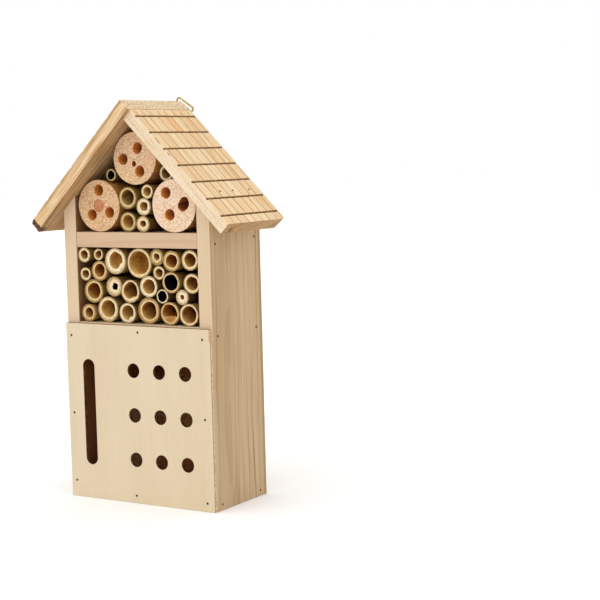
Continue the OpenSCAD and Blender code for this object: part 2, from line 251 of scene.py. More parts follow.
def pine(name, grain, pith, light, dark, ring=0.0032, contrast=0.4, streak=0.5, drift=0.5,
         extra=None, wobble=3.0, speckle=0.0, ends=None):
    """Solid wood: pale early wood, amber late wood, fine fibres. extra(shader, colour) adds stains and
    painted light and shade.
    """
    s = Shader(name)
    p, rings, fibres, tone = wood_parts(s, grain, pith, ring, wobble)
    late = s.ramp(rings, (0.0, 0.12), (0.5, 0.0), (0.86, 0.85), (0.96, 1.0))
    figure = s.ramp(s.noise(s.stretch(p, (1, 1, 0.05)), 60.0), (0.32, 0.15), (0.68, 1.0))
    amount = late * (figure * contrast) + s.centred(fibres, streak) + s.centred(tone, drift) + 0.28
    if ends:
        amount += end_grain(s, grain, *ends)
    colour = s.ramp(amount, (0.0, light), (1.0, dark))
    if speckle:
        pores = s.ramp(s.noise(s.coords(), 1500.0, 2.0, 0.7), (0.38, speckle), (0.52, 0.0))
        colour = s.mix(pores, colour, s.mix(0.5, dark, (150, 120, 90)))
    if extra:
        colour = extra(s, colour)
    rough = fibres * 0.25 + 0.5
    return s.finish(colour, rough, fibres * 0.7 + late * 0.35, 0.00018, 0.55, specular=0.15)


# ---- mesh helpers


def wave(p, scale, seed=0.0):
    """Smooth noise about -1 to 1 at a point. scale is features per unit of length."""
    return noise.noise(Vector((p[0] * scale + seed * 7.13, p[1] * scale - seed * 3.7,
                               p[2] * scale + seed * 1.9)))


def around(count):
    """Angles of a full turn."""
    return np.linspace(0, 2 * pi, count, endpoint=False)


def ring_shape(rng, rough, count):
    """A wavy outline as a share of the radius, one number for each direction."""
    angles = around(count)
    shape = np.zeros(count)
    for k in range(2, 8):
        shape += rng.normal(0, 1.0 / k) * np.cos(k * angles + rng.uniform(0, 2 * pi))
    return shape * rough


def grid_lines(lo, hi, step, edge, extra=()):
    """Places from lo to hi about a step apart, closer within the rounded edges."""
    near = [edge * f for f in (0.0, 0.12, 0.3, 0.6, 1.0)]
    count = max(2, int(round((hi - lo - 2 * edge) / step)))
    places = [lo + v for v in near] + [hi - v for v in near] + list(extra)
    places += list(np.linspace(lo + edge, hi - edge, count + 1))
    kept = []
    for v in sorted(places):
        if not kept or v - kept[-1] > edge * 0.04:
            kept.append(v)
    return kept


def shell(xs, ys, zs):
    """The surface of a box as a grid of quads that face outwards, on the given places."""
    index, points, faces = {}, [], []
    last = len(xs) - 1, len(ys) - 1, len(zs) - 1

    def at(place):
        """The point's number. place says for each axis, 0 to 2, which of its lines is meant."""
        key = (place[0], place[1], place[2])
        if key not in index:
            index[key] = len(points)
            points.append((xs[key[0]], ys[key[1]], zs[key[2]]))
        return index[key]

    for axis, u, v in ((2, 0, 1), (1, 0, 2), (0, 1, 2)):
        # the side on which the quads turn from u to v when seen from outside comes first
        outer, inner = (0, last[1]) if axis == 1 else (last[axis], 0)
        for a in range(last[u]):
            for b in range(last[v]):
                steps = ((a, b), (a + 1, b), (a + 1, b + 1), (a, b + 1))
                faces.append(tuple(at({axis: outer, u: i, v: j}) for i, j in steps))
                steps = (steps[0], *reversed(steps[1:]))
                faces.append(tuple(at({axis: inner, u: i, v: j}) for i, j in steps))
    return np.array(points, float), faces


def ease_edges(points, lo, hi, radius, seed):
    """Rounds a box's edges by an uneven radius, and lets its faces dip by a hair."""
    lo, hi = np.array(lo, float), np.array(hi, float)
    for n, p in enumerate(points):
        r = radius * (0.62 + 0.38 * wave(p, 90.0, seed) + 0.12 * wave(p, 600.0, seed + 1))
        r = min(max(r, 0.15 * radius), radius)
        q = np.minimum(np.maximum(p, lo + r), hi - r)
        d = p - q
        length = np.linalg.norm(d)
        if length > 1e-9:
            dip = 0.06 * MM * (1 + wave(p, 45.0, seed + 2)) + 0.02 * MM * (1 + wave(p, 700.0, seed + 3))
            points[n] = q + d / length * (r - dip)
    return points


def shave(points, normal, through, seed, rough, scale):
    """Pushes what lies beyond a plane back onto it, unevenly, as a broken or worn corner."""
    normal = np.array(Vector(normal).normalized())
    through = np.array(through, float)
    for n, p in enumerate(points):
        over = (p - through) @ normal + rough * wave(p, scale, seed)
        if over > 0:
            points[n] = p - normal * over
    return points


def soften(mesh, angle):
    mesh.shade_smooth()
    mesh.set_sharp_from_angle(angle=radians(angle))


def add_object(name, data):
    piece = bpy.data.objects.new(name, data)
    bpy.context.scene.collection.objects.link(piece)
    return piece


def make_mesh(name, points, faces, smooth_angle=40.0):
    mesh = bpy.data.meshes.new(name)
    mesh.from_pydata([tuple(p) for p in points], [], faces)
    mesh.update()
    soften(mesh, smooth_angle)
    return add_object(name, mesh)


def add_attribute(piece, name, domain, values):
    layer = piece.data.attributes.new(name, "FLOAT", domain)
    layer.data.foreach_set("value", np.array(values, np.float32))


def revolve(rows, count):
    """A closed skin over rows of points round an axis, each a pair of points and zone number.

    A row is count points, or one point for a pole. Each face has the zone of its first row.
    """
    points, faces, zones = [], [], []
    starts = []
    for row, _ in rows:
        starts.append(len(points))
        points.extend(row)
    for n in range(len(rows) - 1):
        a, b = starts[n], starts[n + 1]
        for k in range(count):
            m = (k + 1) % count
            if len(rows[n][0]) == 1:
                faces.append((a, b + m, b + k))
            elif len(rows[n + 1][0]) == 1:
                faces.append((a + k, a + m, b))
            else:
                faces.append((a + k, a + m, b + m, b + k))
            zones.append(rows[n][1])
    return points, faces, zones


def add_solid(points, faces, rows, count):
    """Adds a closed skin to a growing list of points and faces."""
    new_points, new_faces, _ = revolve(rows, count)
    faces += [tuple(v + len(points) for v in face) for face in new_faces]
    points += new_points


def flipped(faces):
    return [tuple(reversed(face)) for face in faces]


def cut(piece, cutter, smooth_angle=35.0):
    """Takes a cutter's shape out of a piece for good."""
    modifier = piece.modifiers.new("cut", "BOOLEAN")
    modifier.operation = "DIFFERENCE"
    modifier.solver = "EXACT"
    modifier.object = cutter
    modifier.material_mode = "TRANSFER"
    bpy.context.view_layer.update()
    done = piece.evaluated_get(bpy.context.evaluated_depsgraph_get())
    mesh = bpy.data.meshes.new_from_object(done)
    piece.modifiers.clear()
    old = piece.data
    piece.data = mesh
    mesh.name = piece.name
    bpy.data.meshes.remove(old)
    soften(mesh, smooth_angle)


def settle(piece, node):
    """Gives a piece its place in the frame."""
    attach(piece, HOUSE)
    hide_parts(node)


def dress(piece, materials, node):
    """Gives a piece its materials and its place in the frame."""
    piece.data.materials.clear()
    for material in materials:
        piece.data.materials.append(material)
    settle(piece, node)


# ---- the house's own measures

HOUSE = "house"
side_lo, side_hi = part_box("right_side")
left_lo, left_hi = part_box("left_side")
panel_lo, panel_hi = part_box("front_panel")
back_lo, back_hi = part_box("back_panel")
lower_lo, lower_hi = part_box("lower_shelf")
upper_lo, upper_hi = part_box("upper_shelf")
divider_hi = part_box("chamber_divider")[1]
roof_lo, roof_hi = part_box("roof_board_left")
front_y = side_lo.y
back_y = side_hi.y
rear_y = back_hi.y
ridge_z = roof_hi.z
roof_len = -roof_lo.x / HALF
roof_t = (ridge_z - roof_lo.z) / HALF - roof_len
roof_under_z = ridge_z - roof_t / HALF
board_t = side_hi.x - side_lo.x
bottom_mid = board_t / 2
lower_mid = (lower_lo.z + lower_hi.z) / 2
upper_mid = (upper_lo.z + upper_hi.z) / 2

# ---- nail holes

NAIL_HOLE_R = 0.63 * MM
NAIL_DIMPLE_R = 0.93 * MM
NAIL_DIMPLE_DEPTH = 0.83 * MM
NAIL_START = -1 * MM  # the cutter begins this far outside the wood
SIDE_HOLE, ROOF_HOLE, BRAD_HOLE, BACK_HOLE, HANGER_HOLE = mm(22.03, 16.03, 14.03, 12.03, 14)
HANGER_NAIL_RISE = 1.6 * MM  # the hanger's nail is this far above the roof's inner corner
ROOF_NAIL_DOWN = 95.5 * MM  # along the slope
ROOF_NAILS_BACK = mm(14, 30.5, 52)
LOW_NAIL_Z = 4.5 * MM
LEFT_BRADS = [mm(-61.5, z) for z in (12.5, 65, 124.5)]
RIGHT_BRADS = [mm(60, 6.4), mm(60, 68), mm(59.6, 126.4)]
SHELF_BRAD_X, BOTTOM_BRAD_X = mm(1.5, -4.5)
BACK_NAIL_Z = mm(20, 105, 185)


def nail_places():
    """(point on the surface, direction into the wood, length of the hole) for each nail."""
    places = []
    # each row of side nails: y, and how far its nails are below the middles of the shelves
    rows = (front_y + 6.5 * MM, *mm(1, 2.2)), (back_y - 5.5 * MM, 0, 0)
    for side in (-1, 1):
        for y, low_drop, high_drop in rows:
            for z in (LOW_NAIL_Z, lower_mid - low_drop, upper_mid - high_drop):
                places.append(((side * side_hi.x, y, z), (-side, 0, 0), SIDE_HOLE))
        down = ROOF_NAIL_DOWN * HALF
        for back in ROOF_NAILS_BACK:
            places.append(((side * down, front_y + back, ridge_z - down),
                           (-side * HALF, 0, -HALF), ROOF_HOLE))
    for x, z in (*LEFT_BRADS, *RIGHT_BRADS, (SHELF_BRAD_X, lower_mid), (BOTTOM_BRAD_X, bottom_mid)):
        places.append(((x, panel_lo.y, z), BACK, BRAD_HOLE))
    back = [(side * (side_hi.x - board_t / 2), z) for side in (-1, 1) for z in BACK_NAIL_Z]
    for x, z in back + [(0, bottom_mid), (0, lower_mid), (0, upper_mid)]:
        places.append(((x, rear_y, z), FRONT, BACK_HOLE))
    deep = roof_t / 2 * HALF
    for y in (front_y + 6 * MM, back_y - 12 * MM):
        places.append(((-deep, y, ridge_z - deep), DOWN_RIGHT, SIDE_HOLE))
    return places


def nail_cutter():
    """One object with the shape of every nail's hole and dimple, and the hanger nail's plain hole."""
    points, faces = [], []
    count = 20
    nails = [(*nail, NAIL_DIMPLE_R) for nail in nail_places()]
    nails.append(((0, rear_y, roof_under_z + HANGER_NAIL_RISE), FRONT, HANGER_HOLE, NAIL_HOLE_R))
    for place, direction, length, dimple_r in nails:
        turn = Vector(UP).rotation_difference(Vector(direction)).to_matrix()
        rows = []
        for r, depth in ((0, NAIL_START), (dimple_r, NAIL_START), (dimple_r, NAIL_DIMPLE_DEPTH),
                         (NAIL_HOLE_R, NAIL_DIMPLE_DEPTH), (NAIL_HOLE_R, length), (0, length)):
            ring = [(r * cos(a), r * sin(a), depth) for a in around(count if r else 1)]
            rows.append(([tuple(turn @ Vector(q) + Vector(place)) for q in ring], 0))
        add_solid(points, faces, rows, count)
    cutter = make_mesh("nail_cutter", points, faces)
    cutter.data.materials.append(Shader("stained_nail_hole").finish((70, 44, 24), 0.8, specular=0.02))
    return cutter


# ---- boards


def under_roof(peak):
    """Height of a top that falls away from a peak on both sides at 45 degrees."""
    return lambda x: peak - abs(x)


def board(name, lo, hi, step, edge, seed, top=None, middle=()):
    """A board with eased edges. top(x) gives the height of a top that isn't level.

    middle lists places along x where the grid must have a line.
    """
    axes = [grid_lines(lo[k], hi[k], step, edge, () if k else middle) for k in range(3)]
    points, faces = shell(*axes)
    points = ease_edges(points, lo, hi, edge, seed)
    if top:
        height = hi[2] - lo[2]
        for p in points:
            p[2] = lo[2] + (p[2] - lo[2]) * (top(p[0]) - lo[2]) / height
    return make_mesh(name, points, faces)


# ---- roof boards, in millimetres

KERFS = [17.3 + 16.9 * k for k in range(7)]  # down the slope from the ridge
KERF_REACH, KERF_SLOPE, KERF_DEPTH = 0.86, 0.3, 0.9
KERF_GRID = (0.5, 0.72, 0.95, 1.5)  # grid lines on both sides of a kerf
SCORE_START = 11.5
SCORE_REACH, SCORE_SLOPE, SCORE_DEPTH = 0.62, 0.25, 0.4
SCORE_GRID = (0.2, 0.38, 0.55, 0.72)
SLANT_RUN = 17.0  # a score drifts sideways by its slant over this length
UPPER_SKIN = 0.75  # only points this near the upper face are pressed in
SHINGLE = 9.2  # width
ROOF_EDGE = 0.8
TORN_ARRIS = ((40, 46.5), (53.5, 58))  # places where the right board's front arris is torn
AMBER_SHINGLE = (1, 4)  # course and place of the right board's darkest shingle


def both_ways(middle, steps):
    return [middle] + [middle + sign * step for step in steps for sign in (-1, 1)]


def score_rows(side, rng):
    """For each course: where it starts and ends, and its scores as (y, depth, slant)."""
    rows = []
    bounds = [SCORE_START] + KERFS + [roof_len / MM + 1]
    first = front_y / MM - (10.5 if side < 0 else 7.5)
    for k in range(len(KERFS) + 1):
        stagger = SHINGLE * ((0.15 + 0.37 * k) % 1.0)
        row = []
        for y in np.arange(first + stagger, rear_y / MM - 1.5, SHINGLE):
            shift = rng.uniform(-1.2, 1.2)
            row.append((y + 0.17 + shift, rng.uniform(0.6, 1.0), rng.uniform(-0.25, 0.25)))
        rows.append((bounds[k], bounds[k + 1], row))
    return rows


def carve(points, scores, front, torn):
    """Presses kerfs and scores into a flat board's upper face, and says where they are.

    The board starts at front, and its front arris is marked like a score on the torn lengths.
    """
    kerf_mark, score_mark = np.zeros(len(points)), np.zeros(len(points))
    for n, p in enumerate(points):
        if p[2] < -UPPER_SKIN:
            continue
        drop = 0.0
        for k in KERFS:
            away = abs(p[0] - k - 0.13 * wave(p, 0.12, k) - 0.12 * wave(p, 0.45, k + 2))
            if away < 1.2:
                share = min(1.0, max(0.0, (KERF_REACH - away) / KERF_SLOPE))
                drop = max(drop, share * (KERF_DEPTH + 0.1 * wave(p, 0.4, k)))
                kerf_mark[n] = max(kerf_mark[n], min(1.0, max(0.0, (0.95 - away) / 0.4)))
        for start, end, row in scores:
            if start <= p[0] < end:
                for y, depth, slant in row:
                    away = abs(p[1] - y - slant * ((p[0] - start) / SLANT_RUN - 0.5))
                    if away < SCORE_REACH:
                        share = min(1.0, (SCORE_REACH - away) / SCORE_SLOPE) * depth
                        drop = max(drop, SCORE_DEPTH * share)
                        score_mark[n] = max(score_mark[n], share)
        if p[1] < front + 1.1 and any(start < p[0] < end for start, end in torn):
            score_mark[n] = 1.0
        points[n][2] -= drop
    return kerf_mark, score_mark


def shingle_tints(centres, scores, side, rng):
    """A random tint for each shingle, as a number for each face of the board."""
    tints = {}
    tint = np.zeros(len(centres))
    for n, (s, y, t) in enumerate(centres):
        if t < -1.2:
            continue
        course = sum(s > k for k in KERFS)
        shingle = (course, sum(y > row_y for row_y, _, _ in scores[course][2]))
        if shingle not in tints:
            tints[shingle] = rng.uniform(-1, 1)
            if side > 0 and shingle == AMBER_SHINGLE:
                tints[shingle] = 2.6
        tint[n] = tints[shingle]
    return tint


def roof_board(name, side):
    """A roof board with real kerfs and scores, built flat: down the slope, back, and up."""
    rng = np.random.default_rng(11 if side < 0 else 23)
    lo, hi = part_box(name)
    y0, y1 = lo.y / MM, hi.y / MM
    length, thick = roof_len / MM, roof_t / MM
    s0 = 0.0 if side < 0 else thick
    scores = score_rows(side, rng)
    s_lines = [v for k in KERFS for v in both_ways(k, KERF_GRID)]
    y_lines = [v for _, _, row in scores for y, _, _ in row for v in both_ways(y, SCORE_GRID)]
    points, faces = shell(grid_lines(s0, length, 3.0, ROOF_EDGE, s_lines),
                          grid_lines(y0, y1, 4.0, ROOF_EDGE, y_lines),
                          grid_lines(-thick, 0, 3.0, ROOF_EDGE))
    points = ease_edges(points * MM, (s0 * MM, y0 * MM, -thick * MM), (length * MM, y1 * MM, 0),
                        ROOF_EDGE * MM, 3.0 + side) / MM
    kerf_mark, score_mark = carve(points, scores, y0, TORN_ARRIS if side > 0 else ())
    if side < 0:
        worn = [((0.37, -0.25, 0.93), (length - 5, y0, 0), 5.0, 0.5, 0.35),
                ((1, -1.3, 0), (length - 1.6, y0 + 0.3, 0), 9.0, 0.9, 0.5),
                ((-0.8, 1, 0.6), (1.8, y1 - 1.6, -0.5), 6.0, 0.6, 0.5)]
    else:
        worn = [((1, 1, -0.2), (length - 1.2, y1 - 2.4, -thick / 2), 7.0, 0.7, 0.4),
                ((0, -1, 1), (0, y0 + 0.4, -0.3), 8.0, 0.55, 0.12)]
    for args in worn:
        points = shave(points, *args)
    tint = shingle_tints([points[list(f)].mean(0) for f in faces], scores, side, rng)
    world = np.empty_like(points)
    world[:, 0] = side * (points[:, 0] + points[:, 2]) * HALF
    world[:, 1] = points[:, 1]
    world[:, 2] = ridge_z / MM + (points[:, 2] - points[:, 0]) * HALF
    piece = make_mesh(name + "_wood", world * MM, flipped(faces) if side < 0 else faces, 50.0)
    add_attribute(piece, "kerf", "POINT", kerf_mark)
    add_attribute(piece, "score", "POINT", score_mark)
    add_attribute(piece, "tint", "FACE", tint)
    return piece


# ---- looks of the roof


def shingle_tones(s, colour):
    """Paler and darker shingles, and brown scores and kerfs."""
    tint = s.attribute("tint")
    light = s.rise(tint * -0.25, 0.0, 1.0)
    dark = s.rise(tint * 0.25, 0.0, 1.0)
    colour = s.mix(light, colour, (248, 226, 184))
    colour = s.mix(dark, colour, (222, 164, 104))
    broken = s.ramp(s.noise(s.coords(), 260.0), (0.3, 0.85), (0.6, 1.0))
    colour = s.mix(s.attribute("score") * broken, colour, (132, 70, 18))
    kerf = s.ramp(s.attribute("kerf"), (0.25, 0.0), (0.8, 0.95))
    return s.mix(kerf, colour, (72, 42, 14))


def right_board_tones(s, colour, turned, streaks):
    """Pale planed front edge, banded end grain at the eave, and a knot at its corner."""
    speck = s.noise(s.stretch(turned, (1, 1, 0.5)), 1500.0, 3.0, 0.7)
    edge = s.ramp(speck * 0.6 + streaks * 0.4,
                  (0.38, (236, 218, 192)), (0.52, (226, 204, 174)), (0.68, (190, 158, 122)))
    colour = s.paint_over(colour, s.facing(FRONT), 0.85, edge)
    across = s.noise(s.dot(s.place(), (0.606, -0.515, 0.606)), 620.0, 2.0, 0.7)
    bands = s.ramp(across * 0.75 + s.noise(s.coords(), 500.0, 3.0, 0.6) * 0.25,
                   (0.40, (204, 168, 120)), (0.49, (174, 134, 86)), (0.57, (106, 72, 38)))
    colour = s.paint_over(colour, s.facing(DOWN_RIGHT), 0.85, bands)
    down, deep = roof_len - 7 * MM, roof_len + 7 * MM
    knot = s.near((down * HALF, front_y - 0.5 * MM, ridge_z - deep * HALF), 3.4 * MM, 0.8)
    return s.paint_over(colour, knot, 0.8, (112, 74, 34))


def left_board_tones(s, colour, streaks):
    """Front edge, sawn ridge strip and an underside painted darker as shade, with some bark left at the
    eave.
    """
    place = s.place()
    back = s.axis("y", place) - roof_lo.y
    deep = (s.dot(place, DOWN_RIGHT) + ridge_z * HALF) * (1 / roof_t)
    across = s.ramp(deep, (0.1, 0.16), (0.5, 0.0), (0.7, -0.06), (0.95, 0.1))
    edge = s.ramp(streaks + across, (0.36, (234, 206, 170)), (0.52, (214, 180, 136)),
                  (0.68, (180, 140, 92)), (0.80, (152, 112, 66)))
    colour = s.paint_over(colour, s.facing(FRONT), 0.85, edge)
    grit = s.ramp(s.noise(s.coords(), 760.0, 3.0, 0.75),
                  (0.40, (240, 222, 194)), (0.52, (216, 190, 154)), (0.62, (150, 118, 84)))
    colour = s.paint_over(colour, s.facing(UP_RIGHT), 0.75, grit)
    # the underside in darker streaked browns: grain darkened as painted shade, and a darker brown line along
    # its front arris
    below = s.ramp(streaks, (0.34, (204, 166, 116)), (0.5, (170, 130, 80)), (0.64, (124, 84, 44)))
    under = s.facing(DOWN_RIGHT)
    colour = s.paint_over(colour, under, 0.8, below)
    arris = s.fade(back * 1000.0, 0.9, 1.0)
    colour = s.paint_over(colour, under * arris, 0.7, (116, 76, 38))
    down = s.dot(place, DOWN_LEFT) - (roof_len - ridge_z * HALF - 5.2 * MM)
    down = down * 300.0 + s.noise(place, 420.0, 3.0, 0.6)
    bark = s.rise(down, 0.42, 0.6) * s.fade(back * 100.0, 0.5, 0.9)
    return s.mix(bark, colour, s.ramp(s.noise(place, 1100.0), (0.42, (48, 26, 12)), (0.66, (140, 96, 58))))


def roof_material(name, side):
    if side > 0:
        grain, pith = "slope_right", (0.05, 0.012, ridge_z - 0.085)
        ends = (DOWN_RIGHT, (0.03, 0.09, ridge_z - 0.12), 0.0035, 1.0)
    else:
        grain, pith = "slope_left", (-0.045, 0.02, ridge_z - 0.075)
        ends = (UP_RIGHT, (-0.03, -0.07, ridge_z - 0.06), 0.0027, 0.45)

    def extra(s, colour):
        colour = shingle_tones(s, colour)
        turned = s.coords(turn=GRAIN_TURN[grain])
        streaks = s.noise(s.stretch(turned, (1, 1, 0.06)), 420.0, 3.0, 0.6)
        if side > 0:
            return right_board_tones(s, colour, turned, streaks)
        return left_board_tones(s, colour, streaks)

    return pine(name, grain, pith, (241, 217, 177), (198, 154, 100), ring=0.0026, contrast=0.55,
                streak=0.75, drift=0.6, extra=extra, speckle=0.2, ends=ends)


# ---- looks of the chambers

# painted light and shade inside the closed bottom bay: shade left of the divider, dimmer light higher up,
# brighter light low down behind the entrances
INSIDE_SHADE = (150, 80, 38)
INSIDE_DIM_HIGH = (222, 122, 56)
INSIDE_LIT_LOW = (255, 196, 124)


def chamber_light_and_shade(s, colour):
    """Painted shade on the faces that line the closed bottom bay, with painted light low down behind the
    entrances.
    """
    lo = (left_hi.x, panel_hi.y, board_t)
    hi = (side_lo.x, back_lo.y, lower_lo.z)
    # painted light falling in through the entrances, brighter low down; painted shade left of the divider
    tone = s.ramp(s.axis("z") * 10.0, (0.70, INSIDE_LIT_LOW), (1.0, INSIDE_DIM_HIGH))
    tone = s.mix(s.inside((divider_hi.x, lo[1], lo[2]), hi), INSIDE_SHADE, tone)
    return s.paint_over(colour, s.inside(lo, hi), 0.9, tone)


def divider_light_and_shade(s, colour):
    """The wall between the chambers: brown as painted shade, and painted light low down on its right face.
    """
    # painted light where the entrances let light fall on the divider's lower right face
    lit_low = s.fade(s.axis("z") * 10.0, 0.80, 0.92)
    right = s.mix(lit_low, (176, 98, 50), (244, 222, 196))
    return s.mix(0.9, colour, s.mix(s.facing(RIGHT), INSIDE_SHADE, right))


def side_tones(s, colour):
    """Front edge painted lighter as painted light from the front, fine lines towards the rear, and painted
    shade on the faces in the bays.
    """
    # the front edge painted lighter than the side faces: painted light from the front
    colour = s.paint_over(colour, s.facing(FRONT), 0.7, (224, 200, 168))
    lines = s.noise(s.stretch(s.coords(), (1, 1, 0.012)), 135.0, 1.5, 0.4)
    lines = s.fade(s.math("ABSOLUTE", lines - 0.5), 0.006, 0.026)
    rear = s.ramp(s.axis("y") * 20.0 + 0.3, (0.0, 0.1), (0.5, 0.6))
    rear = lines * rear * s.most(s.facing(RIGHT), s.facing(LEFT))
    colour = s.mix(rear, colour, (146, 98, 56))
    # painted shade on the inner faces of the bays under the roof
    bays = s.inside((left_hi.x, front_y + 1 * MM, lower_hi.z), (side_lo.x, back_y, side_hi.z))
    colour = s.paint_over(colour, bays, 0.85, (130, 84, 44))
    return chamber_light_and_shade(s, colour)


def back_tones(s, colour):
    """Sawn edges of the back sheet, darker than its faces, and painted light and shade inside the closed
    bay.
    """
    edge = (1.0 - s.most(s.facing(BACK), s.facing(FRONT))) * 0.8
    return chamber_light_and_shade(s, s.mix(edge, colour, (150, 120, 80)))


# ---- front panel

ENTRANCE_R = 5.5 * MM
ENTRANCES_X = mm(*(-3.5 + 23.5 * i for i in range(3)))
ENTRANCES_Z = mm(*(33.2 + 33.6 * j for j in range(3)))
SLOT_X, SLOT_LOW, SLOT_RUN = mm(-45.8, 31.5, 70)
STEP_W, STEP_H = mm(1, 9.5)
STEP_CORNER_W, STEP_CORNER_H = mm(0.3, 0.8)


def holed_panel():
    """The front panel: a thin sheet with nine round entrances, a slot and a stepped corner."""
    points, faces = [], []
    count = 64
    out = 1 * MM

    def prism(outline):
        """Adds a convex outline, drawn through the sheet."""
        near, far = panel_lo.y - out, panel_hi.y + out
        middle = np.mean(outline, axis=0)
        rows = ([middle], far), (outline, far), (outline, near), ([middle], near)
        add_solid(points, faces, [([(x, y, z) for x, z in shape], 0) for shape, y in rows], len(outline))

    def arc(x, z, angles):
        return [(x + ENTRANCE_R * cos(a), z + ENTRANCE_R * sin(a)) for a in angles]

    for x in ENTRANCES_X:
        for z in ENTRANCES_Z:
            prism(arc(x, z, around(count)))
    prism(arc(SLOT_X, SLOT_LOW + SLOT_RUN, np.linspace(0, pi, count // 2))
          + arc(SLOT_X, SLOT_LOW, np.linspace(pi, 2 * pi, count // 2)))
    left, right = panel_hi.x - STEP_W, panel_hi.x + out
    low, high = panel_hi.z - STEP_H, panel_hi.z + out
    prism([(right, low), (right, high), (left, high), (left, low + STEP_CORNER_H),
           (left + STEP_CORNER_W, low)])
    sheet = board("front_panel_sheet", panel_lo, panel_hi, 6 * MM, 0.35 * MM, 31.0)
    cutter = make_mesh("entrance_cutter", points, faces)
    cut(sheet, cutter)
    bpy.data.objects.remove(cutter)
    return sheet


def panel_material():
    """Pale birch ply face with faint upright grain; every laser-cut edge is scorched, and upward-facing
    edges are darker as painted shade.
    """
    s = Shader("birch_ply_face")
    _, rings, fibres, tone = wood_parts(s, "z", (0.03, 0.35, 0.07), 0.009, 6.0, 1100.0)
    late = s.ramp(rings, (0.0, 0.3), (0.5, 0.0), (1.0, 0.6))
    amount = late * 0.2 + s.centred(fibres, 0.6) + s.centred(tone, 0.8) + 0.3
    colour = s.ramp(amount, (0.0, (220, 203, 174)), (1.0, (200, 178, 142)))

    upward = s.axis("z", s.normal())
    # scorch pattern, with upward-facing edges darkened as painted shade
    scorch_and_shade = s.noise(s.coords(), 420.0, 3.0, 0.6) - s.rise(upward, 0.4, 0.9) * 0.3
    burnt = s.ramp(scorch_and_shade, (0.36, (60, 33, 14)), (0.66, (122, 82, 46)))
    outer = s.ramp(scorch_and_shade, (0.34, (184, 154, 116)), (0.5, (202, 176, 138)), (0.62, (212, 188, 152)))
    arris = s.fade((s.axis("y") - panel_lo.y) * 500.0, 0.35, 0.5)
    line = s.ramp(scorch_and_shade, (0.34, (104, 68, 34)), (0.6, (166, 126, 80)))
    # a dark line along the front arris, and on upward-facing edges as painted shade
    outer = s.mix(s.most(arris, s.rise(upward, 0.4, 0.8)), outer, line)
    step = s.near((panel_hi.x, panel_lo.y + 2 * MM, panel_hi.z - 5 * MM), 6 * MM, 0.3)
    outer = s.paint_over(outer, step, 0.45, (214, 166, 110))

    rim = Vector((3, -5, 3)) * MM
    burnt = s.mix(s.inside(panel_lo + rim, panel_hi - rim, 0), outer, burnt)
    edge = s.fade(s.math("ABSOLUTE", s.axis("y", s.normal())), 0.55, 0.8)
    colour = s.mix(edge, colour, burnt)
    return s.finish(colour, fibres * 0.2 + 0.5, fibres, 0.0001, 0.4)


# ---- bamboo tubes

# rim: inner ring, middle and rind
RIMS = {
    "cream": ((234, 212, 170), (208, 180, 132), (160, 130, 88)),
    "tan": ((226, 196, 142), (190, 154, 102), (150, 114, 66)),
    "olive": ((222, 198, 144), (180, 152, 98), (142, 116, 66)),
    "pale": ((236, 220, 186), (218, 196, 154), (170, 144, 104)),
}
# skin and bore: light and dark
SKINS = {
    "olive": ((172, 138, 72), (110, 80, 34)),
    "straw": ((194, 156, 94), (132, 96, 48)),
    "brown": ((146, 106, 58), (84, 56, 28)),
}
# the near-black bore tone is painted shade deep inside the canes
BORES = {
    "brown": ((216, 154, 74), (120, 70, 20)),
    "tan": ((240, 196, 112), (164, 114, 42)),
    "orange": ((218, 144, 54), (124, 66, 14)),
    "black": ((34, 28, 22), (12, 10, 8)),
    "olive": ((204, 168, 92), (110, 78, 28)),
}


def rim_material(tone):
    light, middle, rind = RIMS[tone]
    s = Shader("cane_end_" + tone)
    p = s.coords()
    blotch = s.noise(p, 320.0, 3.0)
    wall = s.attribute("wall") + s.centred(blotch, 0.45)
    light_end, middle_at, rind_at = (0.44, 0.62, 1.0) if tone in ("cream", "pale") else (0.32, 0.48, 0.95)
    colour = s.ramp(wall, (0.0, middle), (0.10, light), (light_end, light), (middle_at, middle),
                    (rind_at, rind))
    dots = s.fade(s.noise(p, 1100.0, 2.0, 0.7), 0.36, 0.49)
    dots = dots * s.ramp(wall, (0.1, 0.15), (0.7, 1.0))
    colour = s.mix(dots, colour, s.mix(0.35, rind, (96, 66, 34)))
    return s.finish(colour, 0.62, blotch - dots, 0.0002, 0.5, specular=0.15)


def skin_material(tone):
    """Outside of a cane, streaked along it and darker in the shade behind its mouth."""
    light, dark = SKINS[tone]
    s = Shader("cane_skin_" + tone)
    p = s.coords()
    streak = s.noise(s.stretch(p, (1, 0.04, 1)), 520.0, 3.0)
    patch = s.noise(s.stretch(p, (1, 0.4, 1)), 90.0, 3.0)
    colour = s.ramp(streak * 0.6 + patch * 0.6, (0.35, light), (0.85, dark))
    shade = s.ramp(s.axis("y", p) * 20.0, (0.0, 0.0), (0.3, 0.75))
    colour = s.mix(shade, colour, (58, 40, 18))
    return s.finish(colour, 0.5, streak, 0.00015, 0.4, specular=0.08)


def bore_material(tone):
    """Inside of a cane: darker at the top as painted shade, and painted light on the bottom near its mouth.
    """
    light, dark = BORES[tone]
    s = Shader("cane_bore_" + tone)
    p = s.coords()
    streak = s.noise(s.stretch(p, (1, 0.06, 1)), 640.0, 3.0)
    patch = s.noise(p, 160.0, 3.0)
    # upward-facing bore walls lighter: painted light
    floor = s.facing((0.25, 0, 0.97), -0.2, 0.8)
    amount = streak * 0.3 + patch * 0.85 + 0.2
    colour = s.ramp(amount - floor * 0.34, (0.35, light), (0.8, dark))
    if tone != "black":
        # a pool of painted light on the bore's floor near its mouth
        mouth = s.ramp(s.axis("y", p) * 50.0, (0.05, 0.45), (0.4, 0.0))
        colour = s.mix(floor * mouth, colour, (236, 204, 140))
    return s.finish(colour, 0.8, streak, 0.0002, 0.6, specular=0.04)


